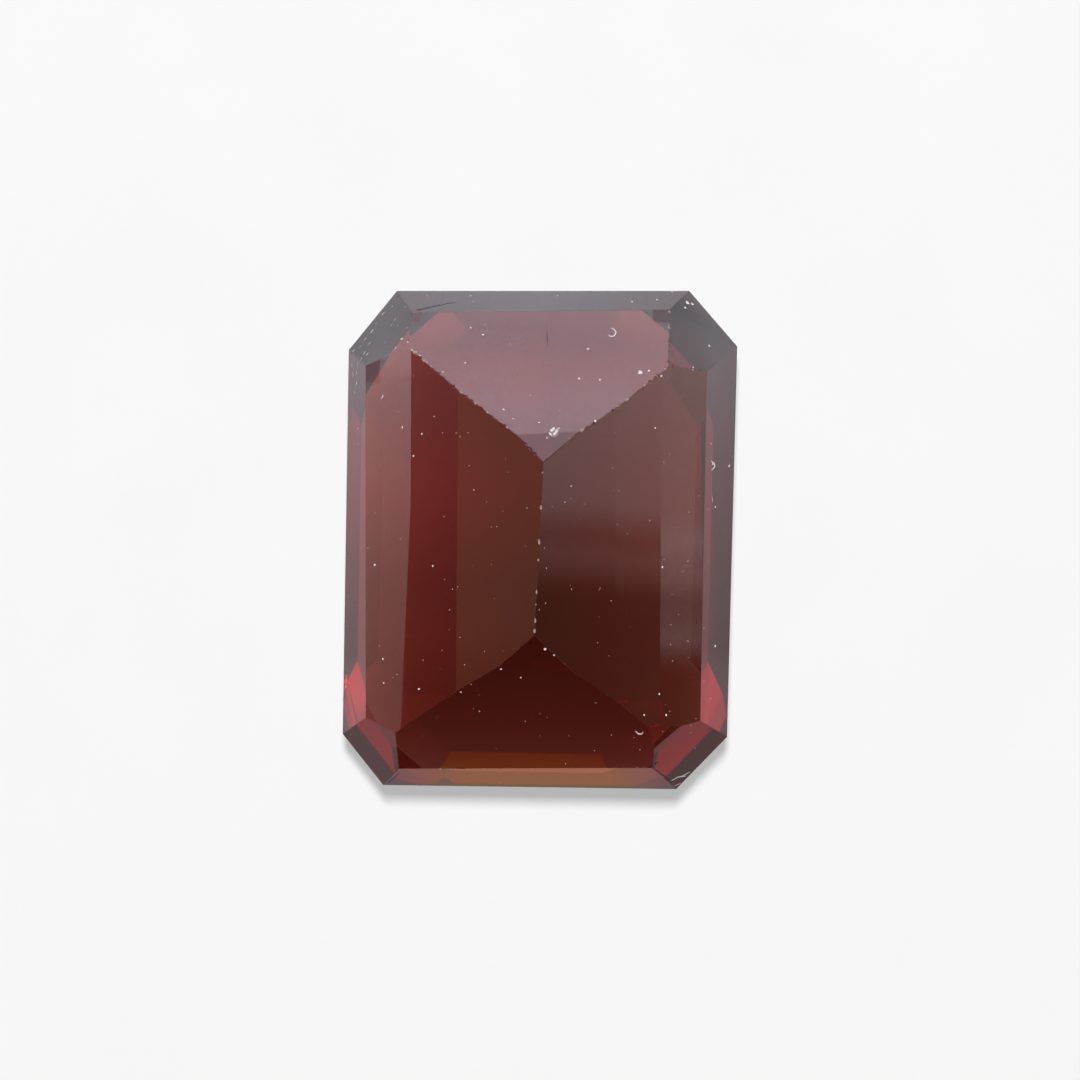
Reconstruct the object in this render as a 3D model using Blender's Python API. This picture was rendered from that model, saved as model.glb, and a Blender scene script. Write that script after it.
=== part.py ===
"""Emerald-cut tourmaline: one faceted stone that lies on its table with the keel of its pavilion up.

The stone is cut as a lapidary cuts it. A block is trimmed by one flat cut for each facet, and each cut
is named by the heading that the facet faces, its slope from level and how far out it lies. +Y is one
short end of the stone, +X one long side, and the table lies on the plane Z = 0.
"""

import math

import bmesh
import bpy
from mathutils import Vector

MM = 0.001

# Heights of the stone's three bands, in metres, from the table up
CROWN_HEIGHT = 1.09 * MM
GIRDLE_HEIGHT = 0.18 * MM
GIRDLE_TOP = CROWN_HEIGHT + GIRDLE_HEIGHT

# The girdle's eight sides: the heading in degrees from +X, and the distance from the centre
GIRDLE = {
    "right": (-1.5, 4.00 * MM),
    "upper_right": (40.8, 5.72 * MM),
    "top": (90.0, 5.15 * MM),
    "upper_left": (140.8, 5.54 * MM),
    "left": (179.1, 4.01 * MM),
    "lower_left": (218.4, 5.70 * MM),
    "bottom": (269.2, 5.14 * MM),
    "lower_right": (315.7, 5.65 * MM),
}

# The pavilion's rows, from the girdle to the keel: heading, slope in degrees, and how far in the row runs.
# The long sides have four rows, the short ends three and the corners one. The last row ends in the keel.
PAVILION = {
    "right": ((-1.5, 64.5, 0.62 * MM), (-2.0, 46.0, 0.90 * MM), (-2.3, 41.3, 0.93 * MM), (-2.7, 36.8, None)),
    "left": ((179.1, 69.0, 0.44 * MM), (177.5, 44.5, 0.94 * MM), (177.2, 41.1, 0.95 * MM), (176.9, 37.9, None)),
    "top": ((90.0, 66.0, 0.45 * MM), (89.2, 46.7, 2.56 * MM), (88.1, 39.0, None)),
    "bottom": ((269.2, 70.0, 0.43 * MM), (267.8, 49.8, 2.08 * MM), (268.8, 39.3, None)),
    "upper_right": ((40.8, 57.5, None),),
    "upper_left": ((140.8, 62.6, None),),
    "lower_left": ((218.4, 64.3, None),),
    "lower_right": ((315.7, 61.5, None),),
}

# A small extra facet that blunts the inner tip of the lower right corner: heading, slope, and the plan
# distance from the centre and height above the girdle of its foot
BLUNTED_TIP = (318.0, 53.0, 4.67 * MM, 1.72 * MM)

# The crown on each side: how far in from the girdle the table's edge lies, how far the row next to the
# table runs, and how high that row's outer edge lies above the table
CROWN = {
    "right": (1.80 * MM, 0.98 * MM, 0.34 * MM),
    "upper_right": (2.44 * MM, 0.96 * MM, 0.30 * MM),
    "top": (1.82 * MM, 0.81 * MM, 0.24 * MM),
    "upper_left": (2.26 * MM, 0.84 * MM, 0.24 * MM),
    "left": (1.68 * MM, 0.76 * MM, 0.24 * MM),
    "lower_left": (2.27 * MM, 0.87 * MM, 0.24 * MM),
    "bottom": (1.85 * MM, 0.96 * MM, 0.24 * MM),
    "lower_right": (2.38 * MM, 1.17 * MM, 0.34 * MM),
}

# The row next to the girdle takes these shares of the rise and the run that the row by the table leaves
FIRST_ROW_RISE = 0.56
FIRST_ROW_RUN = 0.50

# The rough block that the facets are cut from, and the distance under which a corner lies on a cut
BLOCK_SIDE = 16 * MM
ON_THE_CUT = 1e-8

STONE_COLOUR = (0.20, 0.035, 0.024, 1.0)
STONE_ROUGHNESS = 0.05
STONE_IOR = 1.63


def clear_scene():
    for obj in list(bpy.data.objects):
        bpy.data.objects.remove(obj, do_unlink=True)


def stone_material():
    material = bpy.data.materials.new("red_brown_tourmaline")
    material.use_nodes = True
    shader = material.node_tree.nodes["Principled BSDF"]
    shader.inputs["Base Color"].default_value = STONE_COLOUR
    shader.inputs["Roughness"].default_value = STONE_ROUGHNESS
    shader.inputs["Metallic"].default_value = 0.0
    shader.inputs["IOR"].default_value = STONE_IOR
    shader.inputs["Transmission Weight"].default_value = 1.0
    return material


def facet_normal(heading, slope, up=1):
    """The way a facet faces: its heading in plan and its slope from level, tipped up or down."""
    turn, tip = math.radians(heading), math.radians(slope)
    return Vector((math.sin(tip) * math.cos(turn), math.sin(tip) * math.sin(turn), up * math.cos(tip)))


def rough_block():
    block = bmesh.new()
    bmesh.ops.create_cube(block, size=BLOCK_SIDE)
    return block


def cut(stone, point, normal):
    """Takes off what lies beyond the plane through the point, and closes the stone with the new facet."""
    everything = stone.verts[:] + stone.edges[:] + stone.faces[:]
    bmesh.ops.bisect_plane(
        stone, geom=everything, dist=ON_THE_CUT, plane_co=point, plane_no=normal, clear_outer=True
    )
    rim = [edge for edge in stone.edges if edge.is_boundary]
    if rim:
        bmesh.ops.holes_fill(stone, edges=rim)


def foot(side, reach, height):
    """The point on the side's own heading at this plan distance from the centre and this height."""
    heading = math.radians(GIRDLE[side][0])
    return Vector((reach * math.cos(heading), reach * math.sin(heading), height))


def cut_girdle(stone):
    for side, (heading, reach) in GIRDLE.items():
        cut(stone, foot(side, reach, GIRDLE_TOP), facet_normal(heading, 90.0))


def cut_pavilion(stone):
    for side, rows in PAVILION.items():
        reach, height = GIRDLE[side][1], GIRDLE_TOP
        for heading, slope, run in rows:
            cut(stone, foot(side, reach, height), facet_normal(heading, slope))
            if run:
                reach -= run
                height += run * math.tan(math.radians(slope))
    heading, slope, reach, height = BLUNTED_TIP
    turn = math.radians(heading)
    point = Vector((reach * math.cos(turn), reach * math.sin(turn), GIRDLE_TOP + height))
    cut(stone, point, facet_normal(heading, slope))


def crown_rows(side):
    """The rise and the run of a side's three crown rows, from the girdle to the table."""
    inset, last_run, last_rise = CROWN[side]
    rise, run = CROWN_HEIGHT - last_rise, inset - last_run
    first_rise, first_run = rise * FIRST_ROW_RISE, run * FIRST_ROW_RUN
    return (first_rise, first_run), (rise - first_rise, run - first_run), (last_rise, last_run)


def cut_crown(stone):
    for side, (heading, reach) in GIRDLE.items():
        height = CROWN_HEIGHT
        for rise, run in crown_rows(side):
            slope = math.degrees(math.atan2(rise, run))
            cut(stone, foot(side, reach, height), facet_normal(heading, slope, up=-1))
            reach -= run
            height -= rise


def cut_table(stone):
    cut(stone, Vector((0.0, 0.0, 0.0)), Vector((0.0, 0.0, -1.0)))


def centre_in_plan(stone):
    """Puts the middle of the stone's plan at the origin and leaves the heights alone."""
    for axis in (0, 1):
        places = [vert.co[axis] for vert in stone.verts]
        middle = (min(places) + max(places)) / 2
        for vert in stone.verts:
            vert.co[axis] -= middle


def cut_stone():
    stone = rough_block()
    cut_girdle(stone)
    cut_pavilion(stone)
    cut_crown(stone)
    cut_table(stone)
    centre_in_plan(stone)
    bmesh.ops.recalc_face_normals(stone, faces=stone.faces[:])
    return stone


def build_stone(collection):
    mesh = bpy.data.meshes.new("stone")
    stone = cut_stone()
    stone.to_mesh(mesh)
    stone.free()
    mesh.materials.append(stone_material())
    collection.objects.link(bpy.data.objects.new("stone", mesh))


def main():
    clear_scene()
    collection = bpy.data.collections.new("emerald_cut_tourmaline")
    bpy.context.scene.collection.children.link(collection)
    build_stone(collection)


main()
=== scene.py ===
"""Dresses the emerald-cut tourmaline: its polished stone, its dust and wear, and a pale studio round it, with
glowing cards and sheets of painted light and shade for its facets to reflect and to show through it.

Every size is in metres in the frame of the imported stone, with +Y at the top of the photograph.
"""

import math
import random

import bmesh
import bpy
from bpy.props import FloatProperty, FloatVectorProperty, IntProperty, PointerProperty
from bpy.types import Operator, Panel, PropertyGroup
from mathutils import Matrix, Vector
from mathutils.bvhtree import BVHTree


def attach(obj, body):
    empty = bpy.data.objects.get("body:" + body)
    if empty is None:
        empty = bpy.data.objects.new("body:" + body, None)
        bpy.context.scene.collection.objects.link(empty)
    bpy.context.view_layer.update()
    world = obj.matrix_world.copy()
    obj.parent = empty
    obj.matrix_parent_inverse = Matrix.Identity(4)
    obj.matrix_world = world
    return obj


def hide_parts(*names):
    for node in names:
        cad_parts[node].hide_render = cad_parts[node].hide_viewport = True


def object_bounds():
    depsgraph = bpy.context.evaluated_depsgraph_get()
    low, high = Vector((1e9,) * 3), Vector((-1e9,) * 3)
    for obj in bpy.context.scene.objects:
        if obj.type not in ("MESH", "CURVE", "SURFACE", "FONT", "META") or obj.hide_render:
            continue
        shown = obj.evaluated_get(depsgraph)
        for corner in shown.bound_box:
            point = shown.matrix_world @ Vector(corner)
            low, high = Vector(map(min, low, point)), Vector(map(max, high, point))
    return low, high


bl_info = {
    "name": "Emerald-cut tourmaline",
    "version": (1, 0, 0),
    "blender": (4, 5, 0),
    "location": "3D View > Sidebar > Tourmaline",
    "description": "Polishes the packed stone, dusts it and lights it on a pale floor",
    "category": "Object",
}

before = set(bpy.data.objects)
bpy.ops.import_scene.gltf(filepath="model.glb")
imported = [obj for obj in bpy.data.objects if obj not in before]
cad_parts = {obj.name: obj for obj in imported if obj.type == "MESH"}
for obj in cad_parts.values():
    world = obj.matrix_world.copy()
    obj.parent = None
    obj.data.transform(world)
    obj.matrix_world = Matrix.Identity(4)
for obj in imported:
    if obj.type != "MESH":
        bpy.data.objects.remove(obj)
CAD_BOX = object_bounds()

MM = 0.001
MICRON = 0.000001

STONE_NODE = "stone"
STONE_BODY = "root"
GIRDLE_HEIGHT = 1.27 * MM

# The photograph: its side in pixels, what it shows at the girdle, and the lens above the girdle
PHOTO_SIDE = 1080
VIEW_WIDTH = 22.39 * MM
CAMERA_ABOVE_GIRDLE = 150 * MM

# Chips along the keel: how far along it from its upper end in the photograph, and the chip's radius
KEEL_CHIPS = (
    (0.26, 42 * MICRON), (0.46, 50 * MICRON), (0.565, 34 * MICRON), (0.75, 40 * MICRON), (0.975, 46 * MICRON),
)

# The bruise in the upper facet: its place in the photograph and the radius of the broken hollow
BRUISE = (554, 432, 125 * MICRON)

# Places in the photograph, in pixels from its upper left corner. Each grain of dust has its radius too.
DUST_GRAINS = (
    (553, 429, 52 * MICRON), (557, 431, 44 * MICRON), (550, 434.5, 50 * MICRON), (555, 434, 40 * MICRON),
    (551, 430.5, 34 * MICRON), (559, 428.5, 20 * MICRON), (547, 438, 24 * MICRON), (640.5, 373, 52 * MICRON),
    (649, 371, 26 * MICRON),
    (470.7, 296, 22 * MICRON), (557.5, 296, 22 * MICRON), (470.7, 328, 20 * MICRON), (483, 335, 24 * MICRON),
    (465, 363, 20 * MICRON), (588, 349, 24 * MICRON), (579, 379, 26 * MICRON), (600, 380, 26 * MICRON),
    (661, 376, 24 * MICRON), (709, 346, 26 * MICRON), (693, 367.5, 22 * MICRON), (503.6, 409.6, 24 * MICRON),
    (513, 418.6, 18 * MICRON), (539, 423, 20 * MICRON), (595, 421, 24 * MICRON), (655, 428, 24 * MICRON),
    (402.5, 427.5, 24 * MICRON), (422, 434, 20 * MICRON), (413.6, 456, 20 * MICRON), (474, 490, 16 * MICRON),
    (571, 486, 18 * MICRON), (729, 466, 26 * MICRON), (715, 507, 22 * MICRON), (375, 565, 28 * MICRON),
    (433, 566, 24 * MICRON), (662, 567, 24 * MICRON), (715, 646, 26 * MICRON), (383, 659, 24 * MICRON),
    (384, 683, 22 * MICRON), (501, 669, 24 * MICRON), (521, 677.5, 20 * MICRON), (419, 689, 26 * MICRON),
    (461, 692, 20 * MICRON), (659, 694, 22 * MICRON), (644, 715, 22 * MICRON), (666, 715, 24 * MICRON),
    (687, 303, 46 * MICRON), (692, 304, 34 * MICRON), (685, 308, 30 * MICRON), (657, 300, 22 * MICRON),
    (632, 302, 22 * MICRON), (545, 649, 28 * MICRON), (554, 655, 20 * MICRON), (712.5, 464, 26 * MICRON),
    (672, 292, 20 * MICRON), (402, 339, 24 * MICRON), (408, 342, 20 * MICRON), (412, 350, 22 * MICRON),
    (416, 352, 16 * MICRON), (420, 355.5, 18 * MICRON), (427, 362, 18 * MICRON), (431, 366, 16 * MICRON),
    (443, 372, 18 * MICRON), (396, 348, 20 * MICRON), (407, 328, 14 * MICRON), (427, 296, 16 * MICRON),
)

# Lines in the photograph, in pixels: each is the half width of the mark and then the places it runs through
LINT = (
    (13 * MICRON, (608, 335), (611, 337), (614.5, 336), (616, 332.5), (614, 329.5), (611, 328.5)),
    (12 * MICRON, (635.5, 731), (638, 733.5), (641.5, 734), (643, 732)),
    (11 * MICRON, (711, 461), (714, 463), (714.5, 467), (711.5, 470)),
)
SCUFFS = (
    (14 * MICRON, (384.5, 312), (381.5, 315.5)), (18 * MICRON, (373.4, 329.4), (370.6, 333)),
    (12 * MICRON, (354.5, 349.5), (352.2, 352)), (9 * MICRON, (395.6, 318), (394, 321)),
    (7 * MICRON, (392.4, 323.4), (390.8, 326)), (8 * MICRON, (370.4, 341.6), (368.6, 345)),
    (10 * MICRON, (365.6, 351), (363.4, 354.6)), (7 * MICRON, (362, 357), (360.4, 360.6)),
    (11 * MICRON, (358.2, 362.6), (357.4, 366)), (9 * MICRON, (356.6, 371), (356, 375)),
    (13 * MICRON, (357, 381.6), (356, 385)), (10 * MICRON, (354.8, 390), (354.2, 395)),
    (10 * MICRON, (368.4, 352.6), (366, 355.4)), (8 * MICRON, (352.2, 362), (351.8, 366.6)),
    (8 * MICRON, (352.6, 372.4), (353.2, 376.6)), (12 * MICRON, (393, 305.6), (391.6, 307.4)),
    (9 * MICRON, (366, 337.4), (364.2, 340.4)), (12 * MICRON, (383.4, 394.6), (381.6, 398.8)),
    (8 * MICRON, (376.6, 322.2), (375.2, 324)), (7 * MICRON, (361.2, 345.2), (360, 347.2)),
    (10 * MICRON, (712, 496), (713, 503)), (16 * MICRON, (671, 781), (678, 777), (686, 776)),
    (14 * MICRON, (682, 776), (686, 774), (690, 772)), (8 * MICRON, (674, 786), (681, 783)),
)
DARK_LINES = (
    (30 * MICRON, (411, 312), (420, 309.5), (431, 307), (443, 304.5), (456, 302)),
    (14 * MICRON, (416, 310), (425, 308)),
    (10 * MICRON, (547, 331), (547.4, 338), (547, 345)), (14 * MICRON, (694, 610), (694.5, 615), (697, 624)),
    (24 * MICRON, (649, 768), (654, 764), (659, 762)), (18 * MICRON, (457, 768), (466, 768.5)),
    (12 * MICRON, (388, 783), (394, 778), (399, 773)), (14 * MICRON, (655, 769), (664, 776), (674, 784)),
)

# The CAD stone's facets: how near two corners are one, and the bend under which two triangles are one facet
SAME_CORNER = 0.5 * MICRON
SAME_FACET = math.radians(0.3)

# The rounding on the edges: its segments, and how near two of its corners are one
EDGE_SEGMENTS = 2
EDGE_WELD = 0.2 * MICRON

# Wear: the seed of the nicks, the height an edge reaches and the least angle across it for it to be nicked,
# the share of places that are nicked, and the share of the nicks that are bruised pale. The edges below the
# keel in the photograph are spared: no nick on them is bruised, and all are this share of the size.
NICK_SEED = 11
WORN_ABOVE = 3.2 * MM
WORN_ANGLE = math.radians(30)
WORN_SHARE = 0.8
BRUISED_SHARE = 0.25
SPARED_SIZE = 0.5

# A nick: the part of its step that it may lie in, its least size, how far out its middle lies in radii for
# a keel chip, the bruise and an ordinary nick, the room round a keel chip, and how lopsided the scoop is
NICK_STEP = (0.2, 0.8)
NICK_LEAST = 0.4
CHIP_LIFT = 0.35
BRUISE_LIFT = 0.6
NICK_LIFT = 0.4
CHIP_ROOM = 0.12 * MM
SCOOP_STRETCH = ((0.8, 1.3), (0.8, 1.5), (0.7, 1.1))
SCOOP_WOBBLE = 0.12

# A flake of dust: its width, how lumpy and how flat it is, how far its middle lies above the stone in
# radii, and the least size of a fine grain
FLAKE_WIDTH = (0.6, 1.1)
FLAKE_LUMPS = 0.3
FLAKE_FLATNESS = 0.55
FLAKE_LIFT = 0.25
FINE_LEAST = 0.45

# Threads of lint, scuffs and cracks: steps between two places, sides, how far a mark stands proud, how far
# a thread's middle lies above the stone in half heights, how many steps before its first ring the arch of
# its taper starts, and the least height of that arch
THREAD_STEPS = 3
THREAD_SIDES = 6
MARK_HEIGHT = 1.5 * MICRON
THREAD_LIFT = 0.4
TAPER_LEAD = 0.6
TAPER_LEAST = 0.15

# The grain of the polish and of dry surfaces: repeats per metre, the height of the relief, how fine the
# clouds are, the part of their range that makes patches, the dry roughness and the second colour's share
HAZE_GRAIN = 900.0
DRY_GRAIN = 40000.0
HAZE_RELIEF = 0.05 * MICRON
DRY_RELIEF = 4 * MICRON
GRAIN_DETAIL = 6.0
GRAIN_PATCHES = (0.4, 0.7)
DRY_ROUGHNESS = 0.9
DRY_SECOND_SHARE = 0.75

# The smoothest parts of the dry surfaces, as roughness
BRUISE_GLOSS = 0.25
SCUFF_GLOSS = 0.35
CRACK_GLOSS = 0.5
DUST_GLOSS = 0.4

# The floor: its side, how far below the stone it lies, its grain, its roughness and its second colour's share
FLOOR_SIDE = 1.2
FLOOR_DROP = 0.01 * MM
FLOOR_GRAIN = 300.0
FLOOR_RELIEF = 2 * MICRON
FLOOR_ROUGHNESS = (0.8, 0.95)
FLOOR_SECOND_SHARE = 0.99

# The camera's sensor in millimetres and the nearest it sees, and how many times light is followed on
SENSOR_WIDTH = 36.0
NEAREST_SIGHT = 1 * MM
BOUNCES = 24

# The softbox that lights the floor, almost overhead and a little towards the top of the photograph
KEY_PLACE = (-0.004, 0.105, 0.39)
KEY_SIZE = (0.045, 0.08)

# The shares of a card or sheet that is the same all over
EVEN = ((0.0, 1.0),)


def even(colour):
    """A glow of one colour all over."""
    return dict(light=colour, shade=colour, along=EVEN, up=EVEN)


# Glowing cards that stand round the stone outside the photograph and that only rays reflected from the stone
# or passing through it see. They are painted light and shade: the reflections in its facets and the light
# seen through it. Each stands at its place, runs along X or Y, and mixes its shade with its light by the
# shares along it and up it. The patches stand just in front of a larger card and paint small highlights.
CARDS = {
    "top_card": dict(
        place=(0.0, 20 * MM), runs="X", width=44 * MM, low=0.0, high=14 * MM,
        light=(2.82, 2.74, 3.04), shade=(0.2, 0.2, 0.2),
        along=((-22 * MM, 0.1), (-11 * MM, 0.1), (-9.6 * MM, 1.0), (-2 * MM, 0.95), (0.5 * MM, 0.92),
               (3 * MM, 0.97), (22 * MM, 1.0)),
        up=((0.0, 0.84), (1.8 * MM, 0.83), (3 * MM, 1.0), (5 * MM, 1.0), (6 * MM, 0.85), (9 * MM, 0.71),
            (14 * MM, 0.68)),
    ),
    "right_low_card": dict(
        place=(19.5 * MM, 0.0), runs="Y", width=30 * MM, low=0.0, high=3.3 * MM,
        light=(1.6, 1.55, 1.5), shade=(0.16, 0.13, 0.07),
        along=((-3.6 * MM, 0.0), (-3.3 * MM, 0.08), (-3.15 * MM, 0.17), (-2.85 * MM, 0.37),
               (-2.35 * MM, 0.29), (-1.95 * MM, 0.26), (-1.45 * MM, 0.51), (-1 * MM, 0.58),
               (-0.57 * MM, 0.74), (-0.13 * MM, 0.62), (0.3 * MM, 0.62), (2.6 * MM, 0.78), (4 * MM, 0.9),
               (15 * MM, 1.0)),
        up=EVEN,
    ),
    "right_card": dict(
        place=(20 * MM, 0.0), runs="Y", width=38 * MM, low=-6 * MM, high=16 * MM,
        light=(5.2, 4.8, 4.8), shade=(0.16, 0.16, 0.1),
        along=((-2.9 * MM, 0.0), (-2.1 * MM, 0.005), (-1.9 * MM, 0.012), (-1.7 * MM, 0.035),
               (-1.25 * MM, 0.074), (-0.85 * MM, 0.06), (-0.7 * MM, 0.064), (-0.25 * MM, 0.125), (0.0, 0.165),
               (1 * MM, 0.19), (3 * MM, 0.25), (4.2 * MM, 0.3), (4.8 * MM, 0.9), (12.8 * MM, 0.9),
               (14 * MM, 0.35), (19 * MM, 0.3)),
        up=((-6 * MM, 0.55), (-1 * MM, 0.55), (-0.2 * MM, 1.0), (16 * MM, 1.0)),
    ),
    "left_low_card": dict(
        place=(-20 * MM, 0.0), runs="Y", width=30 * MM, low=0.0, high=3.3 * MM,
        light=(2.8, 2.6, 2.7), shade=(0.3, 0.26, 0.16),
        along=((-4.5 * MM, 0.1), (-2.7 * MM, 0.13), (-0.7 * MM, 0.2), (1.6 * MM, 0.33), (3.9 * MM, 0.54),
               (4.4 * MM, 0.58), (4.6 * MM, 0.7), (4.9 * MM, 0.8), (8 * MM, 1.0)),
        up=EVEN,
    ),
    "left_patch_card": dict(
        place=(-19.9 * MM, 4.62 * MM), runs="Y", width=0.64 * MM, low=2.05 * MM, high=2.46 * MM,
        **even((1.67, 1.0, 1.14)),
    ),
    "upper_left_patch_card": dict(
        place=(-3 * MM, 19.9 * MM), runs="X", width=1 * MM, low=0.6 * MM, high=1.2 * MM,
        **even((2.77, 1.76, 1.99)),
    ),
    "upper_right_patch_card": dict(
        place=(3.25 * MM, 19.9 * MM), runs="X", width=0.96 * MM, low=0.6 * MM, high=1.12 * MM,
        **even((1.86, 1.47, 1.62)),
    ),
    "left_middle_card": dict(
        place=(-20.5 * MM, 0.0), runs="Y", width=24 * MM, low=0.0, high=7.8 * MM,
        light=(0.62, 0.6, 0.6), shade=(0.07, 0.11, 0.08),
        along=((-2.6 * MM, 0.0), (0.0, 0.1), (2 * MM, 0.22), (3.6 * MM, 0.38), (6 * MM, 0.7)),
        up=EVEN,
    ),
    "left_high_card": dict(
        place=(-21 * MM, 0.0), runs="Y", width=38 * MM, low=-6 * MM, high=11 * MM,
        light=(3.6, 3.4, 3.4), shade=(0.17, 0.2, 0.07),
        along=((-3.5 * MM, 0.0), (-0.8 * MM, 0.05), (2.4 * MM, 0.07), (5 * MM, 0.09), (6.5 * MM, 1.0)),
        up=EVEN,
    ),
    "left_top_card": dict(
        place=(-21 * MM, 0.0), runs="Y", width=38 * MM, low=11 * MM, high=16 * MM,
        light=(3.6, 3.4, 3.4), shade=(0.16, 0.12, 0.06),
        along=((-3.5 * MM, 0.1), (-2.2 * MM, 0.14), (-0.8 * MM, 0.15), (0.1 * MM, 0.2), (1.6 * MM, 0.24),
               (3.4 * MM, 0.33), (5 * MM, 0.4), (6.5 * MM, 0.8)),
        up=EVEN,
    ),
    # Painted shade: a dark card for the lowest facets to reflect
    "bottom_card": dict(
        place=(0.0, -13 * MM), runs="X", width=40 * MM, low=0.0, high=16 * MM,
        **even((0.075, 0.07, 0.045)),
    ),
}

# Glowing sheets on and under the floor round the stone, each with the rays that see it, its size, its place,
# how far below the stone's table it lies, its light and its shade, and the shares of light along X and Y. The
# polished facets reflect the first two: a painted reflection of the floor, bright towards +Y and darker and
# reddish towards -Y with the stone's painted shadow and red cast light, and a painted warm patch. The others
# show through the stone: painted light under it with the stone's painted shadow, a painted warm glow, and an
# evenly bright floor past them.
SHEETS = {
    # Painted reflection of the floor, with the stone's painted shadow and reddish cast light towards -Y
    "polish_sheet": dict(
        seen_by="glossy", size=(100 * MM, 100 * MM), place=(0.0, 0.0), depth=0.006 * MM,
        light=(1.62, 1.60, 1.75), shade=(0.36, 0.09, 0.06),
        along=((-50 * MM, 0.85), (-5.8 * MM, 0.85), (-5.4 * MM, 0.8), (-5 * MM, 0.8), (0.0, 1.0),
               (5.2 * MM, 0.71), (5.9 * MM, 0.8), (6.4 * MM, 0.84), (50 * MM, 0.84)),
        up=((-50 * MM, 0.6), (-20 * MM, 0.4), (-14 * MM, 0.0), (-9 * MM, 0.0), (-8 * MM, 0.24),
            (-4.7 * MM, 0.24), (-4.1 * MM, 0.44), (-2.9 * MM, 0.46), (-2.4 * MM, 0.36), (-1.2 * MM, 0.4),
            (-0.3 * MM, 0.43), (0.9 * MM, 0.5), (1.9 * MM, 0.56), (4.5 * MM, 0.82), (6 * MM, 0.89),
            (6.8 * MM, 0.79), (20 * MM, 0.82)),
    ),
    # Painted warm reflection for the lowest step of facets
    "warm_strip": dict(
        seen_by="glossy", size=(8 * MM, 1.5 * MM), place=(0.0, -6.65 * MM), depth=0.004 * MM,
        light=(0.78, 0.51, 0.29), shade=(0.58, 0.405, 0.44),
        along=((-4 * MM, 0.0), (-3 * MM, 0.0), (-1.6 * MM, 1.0), (1.4 * MM, 1.0), (2.6 * MM, 0.0),
               (4 * MM, 0.0)),
        up=EVEN,
    ),
    # Painted light under the stone, with the stone's painted shadow
    "left_crystal_sheet": dict(
        seen_by="transmission", size=(60 * MM, 120 * MM), place=(-30 * MM, 0.0), depth=14 * MM,
        light=(0.95, 0.95, 0.95), shade=(0.15, 0.15, 0.15),
        along=((-20 * MM, 1.0), (3 * MM, 0.3), (13 * MM, 0.42), (15 * MM, 0.08), (18.5 * MM, 0.08),
               (20.5 * MM, 0.5), (22 * MM, 0.55), (24 * MM, 0.55), (30 * MM, 0.9)),
        up=((-40 * MM, 1.0), (-20 * MM, 0.17), (-12 * MM, 0.35), (-8 * MM, 0.48), (-6.9 * MM, 0.45),
            (-5.9 * MM, 0.15), (-4.2 * MM, 0.1), (-2.7 * MM, 0.04), (-1 * MM, 0.02), (-0.65 * MM, 0.09),
            (-0.2 * MM, 0.25), (0.3 * MM, 0.25), (0.7 * MM, 0.3), (2 * MM, 0.3), (4 * MM, 0.25),
            (4.6 * MM, 0.03), (10.5 * MM, 0.03), (15 * MM, 0.1), (17 * MM, 0.19), (20 * MM, 0.19),
            (40 * MM, 1.0)),
    ),
    # Painted light under the stone, with the stone's painted shadow
    "right_crystal_sheet": dict(
        seen_by="transmission", size=(60 * MM, 120 * MM), place=(30 * MM, 0.0), depth=14 * MM,
        light=(0.95, 0.95, 0.95), shade=(0.15, 0.15, 0.15),
        along=((-30 * MM, 0.9), (-24 * MM, 0.95), (-21 * MM, 1.0)),
        up=((-40 * MM, 1.0), (-20 * MM, 0.17), (-12 * MM, 0.35), (-8 * MM, 0.4), (-6.9 * MM, 0.36),
            (-5.9 * MM, 0.15), (-4.2 * MM, 0.13), (-2.7 * MM, 0.2), (-1.4 * MM, 0.17), (-0.3 * MM, 0.26),
            (0.7 * MM, 0.35), (2 * MM, 0.28), (4.2 * MM, 0.24), (6 * MM, 0.04), (10.5 * MM, 0.03),
            (15 * MM, 0.1), (17 * MM, 0.19), (20 * MM, 0.19), (40 * MM, 1.0)),
    ),
    # Painted warm glow seen through the stone
    "warm_crystal_sheet": dict(
        seen_by="transmission", size=(12 * MM, 4 * MM), place=(0.0, 17 * MM), depth=13.9 * MM,
        **even((0.31, 0.36, 0.11)),
    ),
    "far_sheet": dict(
        seen_by="transmission", size=(900 * MM, 900 * MM), place=(0.0, 0.0), depth=15 * MM,
        **even((0.93, 0.93, 0.93)),
    ),
}


class StoneSettings(PropertyGroup):
    """The crystal itself."""

    absorbed: FloatVectorProperty(
        name="Body colour", description="Light left after one absorption length", subtype="COLOR",
        size=3, min=0, max=1, default=(0.82, 0.3, 0.233)
    )
    depth_of_colour: FloatProperty(
        name="Depth of colour", description="How strongly the crystal absorbs, per metre", default=1500.0,
        min=0
    )
    ior: FloatProperty(name="Refractive index", description="Tourmaline is near 1.63", default=1.63, min=1.0)
    edge_softness: FloatProperty(
        name="Edge softness", description="Width of the rounding that polish leaves on facet edges",
        default=7 * MICRON, min=0, unit="LENGTH", precision=6
    )
    haze: FloatProperty(
        name="Handling haze", description="Roughness of the polish where it has been handled", default=0.03,
        min=0, max=1
    )


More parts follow.
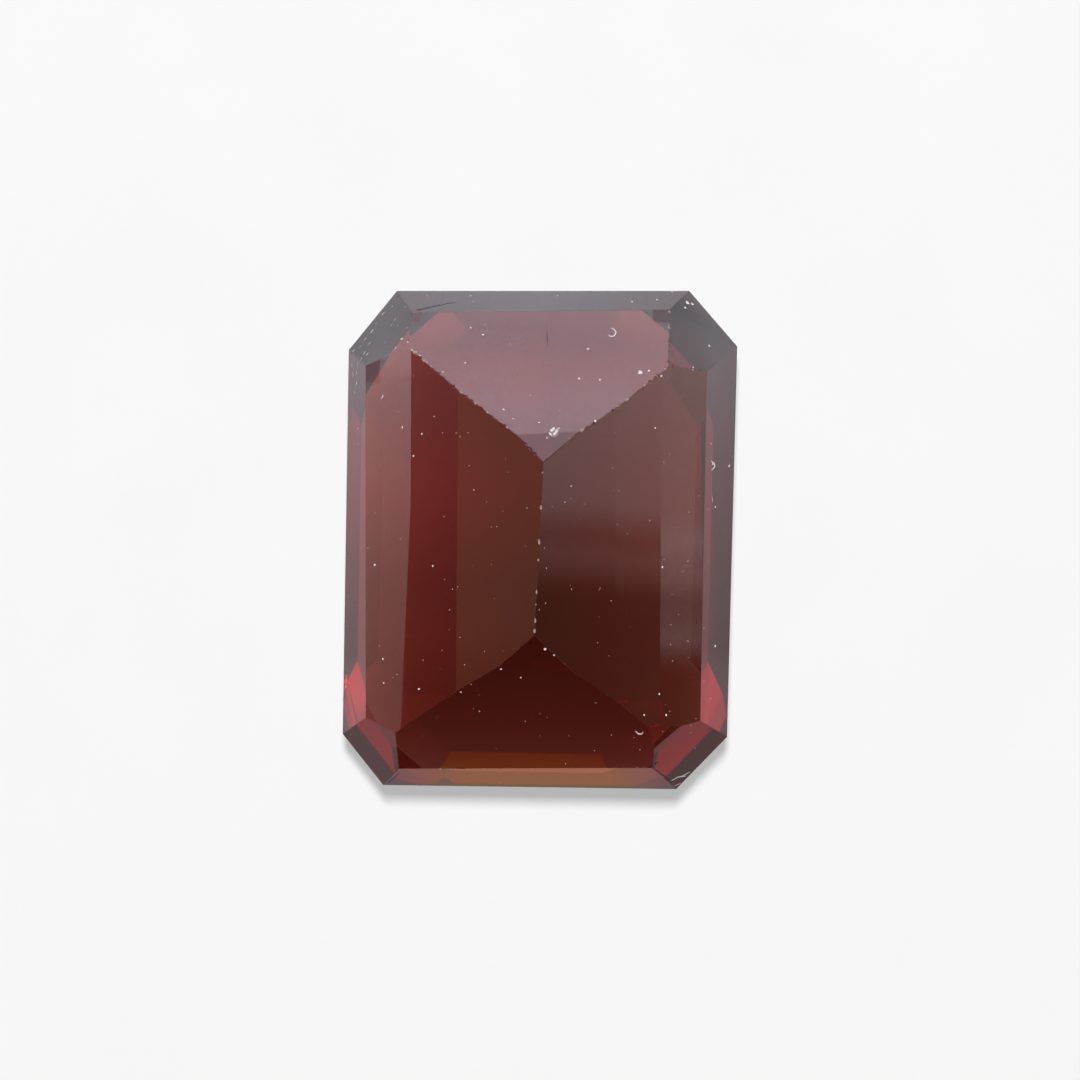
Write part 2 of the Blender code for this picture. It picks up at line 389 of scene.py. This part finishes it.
class WearSettings(PropertyGroup):
    """Small damage to the cut stone."""

    chip_spacing: FloatProperty(
        name="Chip spacing", description="Mean distance between the nicks along the highest facet edges",
        default=0.16 * MM, min=0.05 * MM, unit="LENGTH", precision=6
    )
    chip_radius: FloatProperty(
        name="Chip radius", description="Radius of an ordinary nick", default=58 * MICRON, min=5 * MICRON,
        unit="LENGTH", precision=6
    )
    chip_colour: FloatVectorProperty(
        name="Chip colour", description="Bruised crystal in the larger chips", subtype="COLOR", size=3,
        min=0, max=1, default=(0.36, 0.25, 0.24)
    )
    scuff_colour: FloatVectorProperty(
        name="Scuff colour", description="Dry scratches that catch the light", subtype="COLOR", size=3,
        min=0, max=1, default=(0.6, 0.6, 0.61)
    )
    crack_colour: FloatVectorProperty(
        name="Crack colour", description="Dirt in the open cracks", subtype="COLOR", size=3, min=0, max=1,
        default=(0.022, 0.014, 0.013)
    )


class DustSettings(PropertyGroup):
    """Dust and lint on the stone."""

    fine_grains: IntProperty(
        name="Fine grains", description="Number of grains too small to place one by one", default=190, min=0
    )
    fine_radius: FloatProperty(
        name="Fine grain radius", description="Radius of the largest fine grain", default=11 * MICRON,
        min=1 * MICRON, unit="LENGTH", precision=6
    )
    dust_colour: FloatVectorProperty(
        name="Dust colour", description="Pale household dust", subtype="COLOR", size=3, min=0, max=1,
        default=(0.83, 0.82, 0.84)
    )
    seed: IntProperty(name="Seed", description="Picks where the fine grains lie", default=7, min=0)


class StageSettings(PropertyGroup):
    """The floor, the camera and the light."""

    floor_colour: FloatVectorProperty(
        name="Floor colour", description="Plain pale floor", subtype="COLOR", size=3, min=0, max=1,
        default=(0.93, 0.93, 0.93)
    )
    world_strength: FloatProperty(
        name="Room light", description="Even light from all round", default=0.5, min=0
    )
    key_power: FloatProperty(
        name="Key light", description="Power of the softbox overhead", default=0.86, min=0, unit="POWER"
    )


def link(obj):
    bpy.context.scene.collection.objects.link(obj)
    return obj


def shader_of(material):
    return material.node_tree.nodes["Principled BSDF"]


def new_material(name):
    material = bpy.data.materials.new(name)
    material.use_nodes = True
    return material


def surface_grain():
    """The shared node group: a mottled colour, roughness and height that change over a surface."""
    name = "surface_grain"
    if name in bpy.data.node_groups:
        return bpy.data.node_groups[name]
    group = bpy.data.node_groups.new(name, "ShaderNodeTree")
    sockets = group.interface
    for title, kind, value in (
        ("Scale", "NodeSocketFloat", 1000.0),
        ("Smooth", "NodeSocketFloat", 0.0),
        ("Rough", "NodeSocketFloat", 1.0),
        ("Colour", "NodeSocketColor", (1, 1, 1, 1)),
        ("Second colour", "NodeSocketColor", (1, 1, 1, 1)),
    ):
        sockets.new_socket(name=title, in_out="INPUT", socket_type=kind).default_value = value
    sockets.new_socket(name="Colour", in_out="OUTPUT", socket_type="NodeSocketColor")
    sockets.new_socket(name="Roughness", in_out="OUTPUT", socket_type="NodeSocketFloat")
    sockets.new_socket(name="Height", in_out="OUTPUT", socket_type="NodeSocketFloat")
    given = group.nodes.new("NodeGroupInput")
    result = group.nodes.new("NodeGroupOutput")
    place = group.nodes.new("ShaderNodeTexCoord")
    clouds = group.nodes.new("ShaderNodeTexNoise")
    clouds.inputs["Detail"].default_value = GRAIN_DETAIL
    group.links.new(place.outputs["Object"], clouds.inputs["Vector"])
    group.links.new(given.outputs["Scale"], clouds.inputs["Scale"])
    patches = group.nodes.new("ShaderNodeMapRange")
    patches.inputs["From Min"].default_value = GRAIN_PATCHES[0]
    patches.inputs["From Max"].default_value = GRAIN_PATCHES[1]
    group.links.new(clouds.outputs["Fac"], patches.inputs["Value"])
    rough = group.nodes.new("ShaderNodeMix")
    group.links.new(patches.outputs["Result"], rough.inputs["Factor"])
    group.links.new(given.outputs["Smooth"], rough.inputs["A"])
    group.links.new(given.outputs["Rough"], rough.inputs["B"])
    colour = group.nodes.new("ShaderNodeMix")
    colour.data_type = "RGBA"
    group.links.new(patches.outputs["Result"], colour.inputs["Factor"])
    group.links.new(given.outputs["Colour"], colour.inputs["A"])
    group.links.new(given.outputs["Second colour"], colour.inputs["B"])
    group.links.new(rough.outputs["Result"], result.inputs["Roughness"])
    group.links.new(colour.outputs["Result"], result.inputs["Colour"])
    group.links.new(clouds.outputs["Fac"], result.inputs["Height"])
    return group


def add_grain(material, scale, smooth, rough, bump, colours=None):
    """Gives a material the shared grain: patches of roughness, a fine relief and, if asked, two colours."""
    tree = material.node_tree
    shader = shader_of(material)
    grain = tree.nodes.new("ShaderNodeGroup")
    grain.node_tree = surface_grain()
    grain.inputs["Scale"].default_value = scale
    grain.inputs["Smooth"].default_value = smooth
    grain.inputs["Rough"].default_value = rough
    tree.links.new(grain.outputs["Roughness"], shader.inputs["Roughness"])
    if colours:
        grain.inputs["Colour"].default_value = (*colours[0], 1)
        grain.inputs["Second colour"].default_value = (*colours[1], 1)
        tree.links.new(grain.outputs["Colour"], shader.inputs["Base Color"])
    relief = tree.nodes.new("ShaderNodeBump")
    relief.inputs["Strength"].default_value = 1.0
    relief.inputs["Distance"].default_value = bump
    tree.links.new(grain.outputs["Height"], relief.inputs["Height"])
    tree.links.new(relief.outputs["Normal"], shader.inputs["Normal"])


def darker(colour, share):
    return tuple(part * share for part in colour)


def crystal_material(settings):
    """Clear polished tourmaline: plain refraction, and colour that deepens with the light's path inside."""
    material = new_material("polished_tourmaline")
    tree = material.node_tree
    shader = shader_of(material)
    shader.inputs["Base Color"].default_value = (1, 1, 1, 1)
    shader.inputs["Transmission Weight"].default_value = 1.0
    shader.inputs["IOR"].default_value = settings.ior
    add_grain(material, HAZE_GRAIN, 0.0, settings.haze, HAZE_RELIEF)
    body = tree.nodes.new("ShaderNodeVolumeAbsorption")
    body.inputs["Color"].default_value = (*settings.absorbed, 1)
    body.inputs["Density"].default_value = settings.depth_of_colour
    tree.links.new(body.outputs["Volume"], tree.nodes["Material Output"].inputs["Volume"])
    return material


def dry_material(name, colour, scale, gloss):
    """An opaque dry surface with the shared grain, such as dust, a scuff or the dirt in a crack."""
    material = new_material(name)
    add_grain(material, scale, gloss, DRY_ROUGHNESS, DRY_RELIEF, (colour, darker(colour, DRY_SECOND_SHARE)))
    return material


def ramp(tree, place, stops, reach):
    """A share from 0 to 1 that follows the stops, given as (place, share), within the reach either side."""
    scaled = tree.nodes.new("ShaderNodeMapRange")
    scaled.inputs["From Min"].default_value = -reach
    scaled.inputs["From Max"].default_value = reach
    tree.links.new(place, scaled.inputs["Value"])
    curve = tree.nodes.new("ShaderNodeFloatCurve")
    points = curve.mapping.curves[0].points
    points[0].location = (0.0, stops[0][1])
    points[-1].location = (1.0, stops[-1][1])
    for at, share in stops:
        if -reach < at < reach:
            points.new((at + reach) / (2 * reach), share)
    for point in points:
        point.handle_type = "VECTOR"
    curve.mapping.update()
    tree.links.new(scaled.outputs["Result"], curve.inputs["Value"])
    return curve.outputs["Value"]


def glow_material(name, light, shade, along, up, reach):
    """A card's glow of painted light and shade, mixed from its shade and its light by the shares along its
    own X and Y.
    """
    material = new_material(name)
    tree = material.node_tree
    tree.nodes.remove(shader_of(material))
    place = tree.nodes.new("ShaderNodeTexCoord")
    parts = tree.nodes.new("ShaderNodeSeparateXYZ")
    tree.links.new(place.outputs["Object"], parts.inputs["Vector"])
    share = tree.nodes.new("ShaderNodeMath")
    share.operation = "MULTIPLY"
    tree.links.new(ramp(tree, parts.outputs["X"], along, reach), share.inputs[0])
    tree.links.new(ramp(tree, parts.outputs["Y"], up, reach), share.inputs[1])
    blend = tree.nodes.new("ShaderNodeMix")
    blend.data_type = "RGBA"
    tree.links.new(share.outputs["Value"], blend.inputs["Factor"])
    blend.inputs["A"].default_value = (*shade, 1)
    blend.inputs["B"].default_value = (*light, 1)
    glow = tree.nodes.new("ShaderNodeEmission")
    tree.links.new(blend.outputs["Result"], glow.inputs["Color"])
    tree.links.new(glow.outputs["Emission"], tree.nodes["Material Output"].inputs["Surface"])
    return material


def flat_card(name, width, low, high, material, seen_by):
    """A flat rectangle in its own XY plane that only the named rays see."""
    plane = bmesh.new()
    bmesh.ops.create_grid(plane, x_segments=1, y_segments=1, size=0.5)
    for vert in plane.verts:
        vert.co = Vector((vert.co.x * width, low + (vert.co.y + 0.5) * (high - low), 0.0))
    mesh = bpy.data.meshes.new(name)
    plane.to_mesh(mesh)
    plane.free()
    mesh.materials.append(material)
    card = link(bpy.data.objects.new(name, mesh))
    for ray in ("camera", "diffuse", "glossy", "transmission", "shadow", "volume_scatter"):
        setattr(card, "visible_" + ray, ray in seen_by)
    return card


def stand_card(name, place, runs, width, low, high, light, shade, along, up):
    """A glowing card of painted light and shade that stands on edge. Its own X runs along the scene's X or Y,
    and its own Y runs up.
    """
    material = glow_material(name, light, shade, along, up, width / 2)
    card = flat_card(name, width, low, high, material, ("glossy", "transmission"))
    card.location = (*place, 0.0)
    card.rotation_euler = (math.radians(90), 0.0, math.radians(90) if runs == "Y" else 0.0)


def lay_sheet(name, seen_by, size, place, depth, light, shade, along, up):
    """A glowing sheet of painted light and shade that lies level, at its depth below the stone's table."""
    width, length = size
    material = glow_material(name, light, shade, along, up, max(width, length) / 2)
    sheet = flat_card(name, width, -length / 2, length / 2, material, (seen_by,))
    sheet.location = (*place, -depth)


def facets_of_the_cad_stone():
    """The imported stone's mesh with the triangles of each facet joined again."""
    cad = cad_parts[STONE_NODE]
    stone = bmesh.new()
    stone.from_mesh(cad.data)
    bmesh.ops.remove_doubles(stone, verts=stone.verts[:], dist=SAME_CORNER)
    bmesh.ops.dissolve_limit(
        stone, angle_limit=SAME_FACET, verts=stone.verts[:], edges=stone.edges[:], delimit=set()
    )
    return stone


def keel_of(stone):
    """The stone's highest edge, from its +Y end to its -Y end."""
    edge = max(stone.edges, key=lambda each: each.verts[0].co.z + each.verts[1].co.z)
    ends = sorted((vert.co.copy() for vert in edge.verts), key=lambda at: -at.y)
    return ends[0], ends[1]


def facet_spot(stone, x, y):
    """Where a place in the photograph lies on the uncut stone, and the way its facet faces."""
    at, normal, _, _ = BVHTree.FromBMesh(stone).ray_cast(*sight_line(x, y))
    return at, normal


def add_nick(cutter, at, radius, draw, bruised):
    """Adds one scoop to the cutter: a lopsided ball that takes a shell-shaped nick out of an edge."""
    ball = bmesh.ops.create_icosphere(cutter, subdivisions=2, radius=radius)["verts"]
    stretch = Vector([draw.uniform(*span) for span in SCOOP_STRETCH])
    for vert in ball:
        wobble = 1 + draw.uniform(-SCOOP_WOBBLE, SCOOP_WOBBLE)
        vert.co = at + Vector((vert.co.x * stretch.x, vert.co.y * stretch.y, vert.co.z * stretch.z)) * wobble
    if bruised:
        for face in {face for vert in ball for face in vert.link_faces}:
            face.material_index = 1


def nick_cutter(stone, settings):
    """The scoops for every nick: the keel's own chips, and small ones where the edges stand highest."""
    draw = random.Random(NICK_SEED)
    cutter = bmesh.new()
    first, last = keel_of(stone)
    for along, radius in KEEL_CHIPS:
        lift = Vector((0.0, 0.0, radius * CHIP_LIFT))
        add_nick(cutter, first.lerp(last, along) + lift, radius, draw, True)
    x, y, radius = BRUISE
    at, facing = facet_spot(stone, x, y)
    add_nick(cutter, at + facing * radius * BRUISE_LIFT, radius, draw, True)
    for edge in stone.edges:
        low, high = sorted((vert.co for vert in edge.verts), key=lambda at: at.z)
        if high.z < WORN_ABOVE or edge.calc_face_angle() < WORN_ANGLE:
            continue
        count = int(edge.calc_length() / settings.chip_spacing)
        outward = sum((face.normal for face in edge.link_faces), Vector()).normalized()
        for step in range(count):
            along = (step + draw.uniform(*NICK_STEP)) / count
            at = low.lerp(high, along)
            radius = settings.chip_radius * draw.uniform(NICK_LEAST, 1.0)
            spared = at.y < min(first.y, last.y)
            radius *= SPARED_SIZE if spared else 1.0
            near_chip = min((at - first.lerp(last, share)).length for share, _ in KEEL_CHIPS) < CHIP_ROOM
            if draw.random() < WORN_SHARE and not near_chip:
                bruised = draw.random() < BRUISED_SHARE and not spared
                add_nick(cutter, at + outward * radius * NICK_LIFT, radius, draw, bruised)
    return cutter


def cut_away(mesh, cutter, materials):
    """The mesh less the cutter, worked in millimetres so that the smallest nick is well above rounding."""
    solids = []
    for name, source in (("stone_blank", mesh), ("nicks", cutter)):
        source.transform(Matrix.Scale(1 / MM, 4))
        solids.append(link(bpy.data.objects.new(name, source)))
    blank, tool = solids
    for material in materials:
        mesh.materials.append(material)
        cutter.materials.append(material)
    scoop = blank.modifiers.new("nicks", "BOOLEAN")
    scoop.operation = "DIFFERENCE"
    scoop.solver = "EXACT"
    scoop.use_self = True
    scoop.object = tool
    bpy.context.view_layer.update()
    worn = bpy.data.meshes.new_from_object(blank.evaluated_get(bpy.context.evaluated_depsgraph_get()))
    for solid in solids:
        bpy.data.objects.remove(solid, do_unlink=True)
    worn.transform(Matrix.Scale(MM, 4))
    return worn


def sight_line(x, y):
    """The camera's place, and the way from it through a place in the photograph."""
    eye = Vector((0.0, 0.0, GIRDLE_HEIGHT + CAMERA_ABOVE_GIRDLE))
    pixel = VIEW_WIDTH / PHOTO_SIDE
    middle = PHOTO_SIDE / 2
    target = Vector(((x - middle) * pixel, (middle - y) * pixel, GIRDLE_HEIGHT))
    return eye, (target - eye).normalized()


def spot_on_stone(surface, x, y):
    """Where a place in the photograph lies on the stone, and the way the stone faces there, or nothing."""
    at, normal, _, _ = surface.ray_cast(*sight_line(x, y))
    return (at, normal) if at else None


def surface_of(name):
    """A search tree of one piece's surface, for putting things on it."""
    shell = bmesh.new()
    shell.from_mesh(bpy.data.objects[name].data)
    surface = BVHTree.FromBMesh(shell)
    shell.free()
    return surface


def add_grain_of_dust(dust, at, normal, radius, draw):
    """Adds a lumpy flake that lies on the stone, sunk a little so that it touches all over."""
    flake = bmesh.ops.create_icosphere(dust, subdivisions=1, radius=radius)["verts"]
    turn = normal.to_track_quat("Z", "Y")
    width = draw.uniform(*FLAKE_WIDTH)
    for vert in flake:
        lump = vert.co * (1 + draw.uniform(-FLAKE_LUMPS, FLAKE_LUMPS))
        rise = lump.z * FLAKE_FLATNESS + radius * FLAKE_LIFT
        vert.co = at + turn @ Vector((lump.x, lump.y * width, rise))


def add_thread(marks, surface, half_width, places, height):
    """Adds a thin closed thread over the stone, through places in the photograph and thinner at its ends."""
    spots = [spot_on_stone(surface, *place) for place in places]
    spots = [spot for spot in spots if spot]
    path = []
    for (start, lean), (end, _) in zip(spots, spots[1:]):
        path += [(start.lerp(end, step / THREAD_STEPS), lean) for step in range(THREAD_STEPS)]
    path.append(spots[-1])
    rings = []
    for number, (at, normal) in enumerate(path):
        ahead = path[min(number + 1, len(path) - 1)][0] - path[max(number - 1, 0)][0]
        across = normal.cross(ahead).normalized()
        arch = math.sin(math.pi * (number + TAPER_LEAD) / (len(path) - 1 + 2 * TAPER_LEAD))
        taper = max(arch, TAPER_LEAST) ** 0.5
        ring = []
        for side in range(THREAD_SIDES):
            turn = 2 * math.pi * side / THREAD_SIDES
            reach = across * math.cos(turn) * half_width * taper
            lift = normal * (math.sin(turn) * height * taper + height * THREAD_LIFT)
            ring.append(marks.verts.new(at + reach + lift))
        rings.append(ring)
    for low, high in zip(rings, rings[1:]):
        for side in range(THREAD_SIDES):
            after = (side + 1) % THREAD_SIDES
            marks.faces.new((low[side], low[after], high[after], high[side]))
    marks.faces.new(rings[0][::-1])
    marks.faces.new(rings[-1])


def finish_piece(name, shell, material, smooth=False):
    """Turns a built shell into a named piece that rides on the stone's body."""
    bmesh.ops.recalc_face_normals(shell, faces=shell.faces[:])
    for face in shell.faces:
        face.smooth = smooth
    mesh = bpy.data.meshes.new(name)
    shell.to_mesh(mesh)
    shell.free()
    mesh.materials.append(material)
    piece = link(bpy.data.objects.new(name, mesh))
    piece.visible_diffuse = False
    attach(piece, STONE_BODY)
    return piece


class TOURMALINE_OT_stone(Operator):
    """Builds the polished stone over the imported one, with softened edges and its nicks and chips"""

    bl_idname = "tourmaline.stone"
    bl_label = "Polished stone"

    def execute(self, context):
        settings = context.scene.tourmaline_stone
        wear = context.scene.tourmaline_wear
        stone = facets_of_the_cad_stone()
        scoops = nick_cutter(stone, wear)
        bmesh.ops.bevel(
            stone, geom=stone.edges[:], offset=settings.edge_softness, segments=EDGE_SEGMENTS, profile=0.5,
            affect="EDGES", clamp_overlap=True
        )
        bmesh.ops.remove_doubles(stone, verts=stone.verts[:], dist=EDGE_WELD)
        blank = bpy.data.meshes.new("stone_blank")
        stone.to_mesh(blank)
        stone.free()
        cutter = bpy.data.meshes.new("nicks")
        scoops.to_mesh(cutter)
        scoops.free()
        bruise = dry_material("bruised_tourmaline", tuple(wear.chip_colour), DRY_GRAIN, BRUISE_GLOSS)
        mesh = cut_away(blank, cutter, (crystal_material(settings), bruise))
        mesh.name = "polished_stone"
        piece = link(bpy.data.objects.new("polished_stone", mesh))
        piece.visible_diffuse = False
        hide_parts(STONE_NODE)
        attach(piece, STONE_BODY)
        return {"FINISHED"}


class TOURMALINE_OT_marks(Operator):
    """Adds the scuffs in the polish and the dark open cracks"""

    bl_idname = "tourmaline.marks"
    bl_label = "Scuffs and cracks"

    def execute(self, context):
        wear = context.scene.tourmaline_wear
        surface = surface_of("polished_stone")
        for name, lines, colour, gloss in (
            ("scuffs", SCUFFS, wear.scuff_colour, SCUFF_GLOSS),
            ("cracks", DARK_LINES, wear.crack_colour, CRACK_GLOSS),
        ):
            marks = bmesh.new()
            for half_width, *places in lines:
                add_thread(marks, surface, half_width, places, MARK_HEIGHT)
            finish_piece(name, marks, dry_material("dry_" + name, tuple(colour), DRY_GRAIN, gloss))
        return {"FINISHED"}


class TOURMALINE_OT_dust(Operator):
    """Scatters dust and lint over the stone"""

    bl_idname = "tourmaline.dust"
    bl_label = "Dust and lint"

    def execute(self, context):
        settings = context.scene.tourmaline_dust
        surface = surface_of("polished_stone")
        draw = random.Random(settings.seed)
        pale = dry_material("pale_dust", tuple(settings.dust_colour), DRY_GRAIN, DUST_GLOSS)
        dust = bmesh.new()
        for x, y, radius in DUST_GRAINS:
            spot = spot_on_stone(surface, x, y)
            add_grain_of_dust(dust, *spot, radius, draw)
        low, high = CAD_BOX
        sky = high[2] + 1 * MM
        for _ in range(settings.fine_grains):
            over = Vector((draw.uniform(low[0], high[0]), draw.uniform(low[1], high[1]), sky))
            radius = settings.fine_radius * draw.uniform(FINE_LEAST, 1.0)
            at, normal, _, _ = surface.ray_cast(over, Vector((0, 0, -1)))
            if at:
                add_grain_of_dust(dust, at, normal, radius, draw)
        finish_piece("dust", dust, pale)
        lint = bmesh.new()
        for half_width, *places in LINT:
            add_thread(lint, surface, half_width, places, half_width)
        finish_piece("lint", lint, pale, smooth=True)
        return {"FINISHED"}


class TOURMALINE_OT_stage(Operator):
    """Lays the pale floor, stands the glowing cards and sheets of painted reflections, light and shade, and
    sets the lights and the camera
    """

    bl_idname = "tourmaline.stage"
    bl_label = "Stage"

    def execute(self, context):
        settings = context.scene.tourmaline_stage
        self.lay_floor(settings)
        self.light_room(context, settings)
        self.stand_cards()
        self.place_camera(context)
        return {"FINISHED"}

    def lay_floor(self, settings):
        bpy.ops.mesh.primitive_plane_add(size=FLOOR_SIDE, location=(0, 0, -FLOOR_DROP))
        floor = bpy.context.object
        floor.name = "floor"
        paint = new_material("pale_floor")
        shader = shader_of(paint)
        shader.inputs["Specular IOR Level"].default_value = 0.0
        pale = tuple(settings.floor_colour)
        colours = (pale, darker(pale, FLOOR_SECOND_SHARE))
        add_grain(paint, FLOOR_GRAIN, *FLOOR_ROUGHNESS, FLOOR_RELIEF, colours)
        floor.data.materials.append(paint)
        floor.visible_transmission = False

    def stand_cards(self):
        for name, card in CARDS.items():
            stand_card(name, **card)
        for name, sheet in SHEETS.items():
            lay_sheet(name, **sheet)

    def light_room(self, context, settings):
        world = bpy.data.worlds.new("studio")
        world.use_nodes = True
        background = world.node_tree.nodes["Background"]
        background.inputs["Color"].default_value = (1, 1, 1, 1)
        background.inputs["Strength"].default_value = settings.world_strength
        world.cycles.sampling_method = "NONE"
        context.scene.world = world
        key = bpy.data.lights.new("key_softbox", "AREA")
        key.shape = "RECTANGLE"
        key.size, key.size_y = KEY_SIZE
        key.energy = settings.key_power
        softbox = link(bpy.data.objects.new("key_softbox", key))
        softbox.location = KEY_PLACE
        softbox.rotation_euler = (-Vector(KEY_PLACE)).to_track_quat("-Z", "Y").to_euler()
        softbox.visible_camera = False

    def place_camera(self, context):
        lens = bpy.data.cameras.new("camera")
        lens.sensor_width = SENSOR_WIDTH
        lens.lens = lens.sensor_width * CAMERA_ABOVE_GIRDLE / VIEW_WIDTH
        lens.clip_start = NEAREST_SIGHT
        camera = link(bpy.data.objects.new("camera", lens))
        camera.location = (0, 0, GIRDLE_HEIGHT + CAMERA_ABOVE_GIRDLE)
        context.scene.camera = camera
        context.scene.view_settings.view_transform = "Standard"
        cycles = context.scene.cycles
        cycles.max_bounces = BOUNCES
        cycles.transmission_bounces = BOUNCES
        cycles.glossy_bounces = BOUNCES
        cycles.sampling_pattern = "TABULATED_SOBOL"


class TOURMALINE_PT_panel(Panel):
    """Lists the tourmaline's steps and settings"""

    bl_idname = "TOURMALINE_PT_panel"
    bl_label = "Tourmaline"
    bl_space_type = "VIEW_3D"
    bl_region_type = "UI"
    bl_category = "Tourmaline"

    def draw(self, context):
        for settings, step in (
            (context.scene.tourmaline_stone, TOURMALINE_OT_stone),
            (context.scene.tourmaline_wear, TOURMALINE_OT_marks),
            (context.scene.tourmaline_dust, TOURMALINE_OT_dust),
            (context.scene.tourmaline_stage, TOURMALINE_OT_stage),
        ):
            box = self.layout.box()
            for name in settings.__annotations__:
                box.prop(settings, name)
            box.operator(step.bl_idname)


SETTINGS = {
    "tourmaline_stone": StoneSettings,
    "tourmaline_wear": WearSettings,
    "tourmaline_dust": DustSettings,
    "tourmaline_stage": StageSettings,
}
CLASSES = (
    *SETTINGS.values(), TOURMALINE_OT_stone, TOURMALINE_OT_marks, TOURMALINE_OT_dust, TOURMALINE_OT_stage,
    TOURMALINE_PT_panel,
)


def register():
    for each in CLASSES:
        bpy.utils.register_class(each)
    for name, group in SETTINGS.items():
        setattr(bpy.types.Scene, name, PointerProperty(type=group))


def unregister():
    for name in SETTINGS:
        delattr(bpy.types.Scene, name)
    for each in reversed(CLASSES):
        bpy.utils.unregister_class(each)


def main():
    register()
    bpy.ops.tourmaline.stone()
    bpy.ops.tourmaline.marks()
    bpy.ops.tourmaline.dust()
    bpy.ops.tourmaline.stage()


if __name__ == "__main__":
    main()
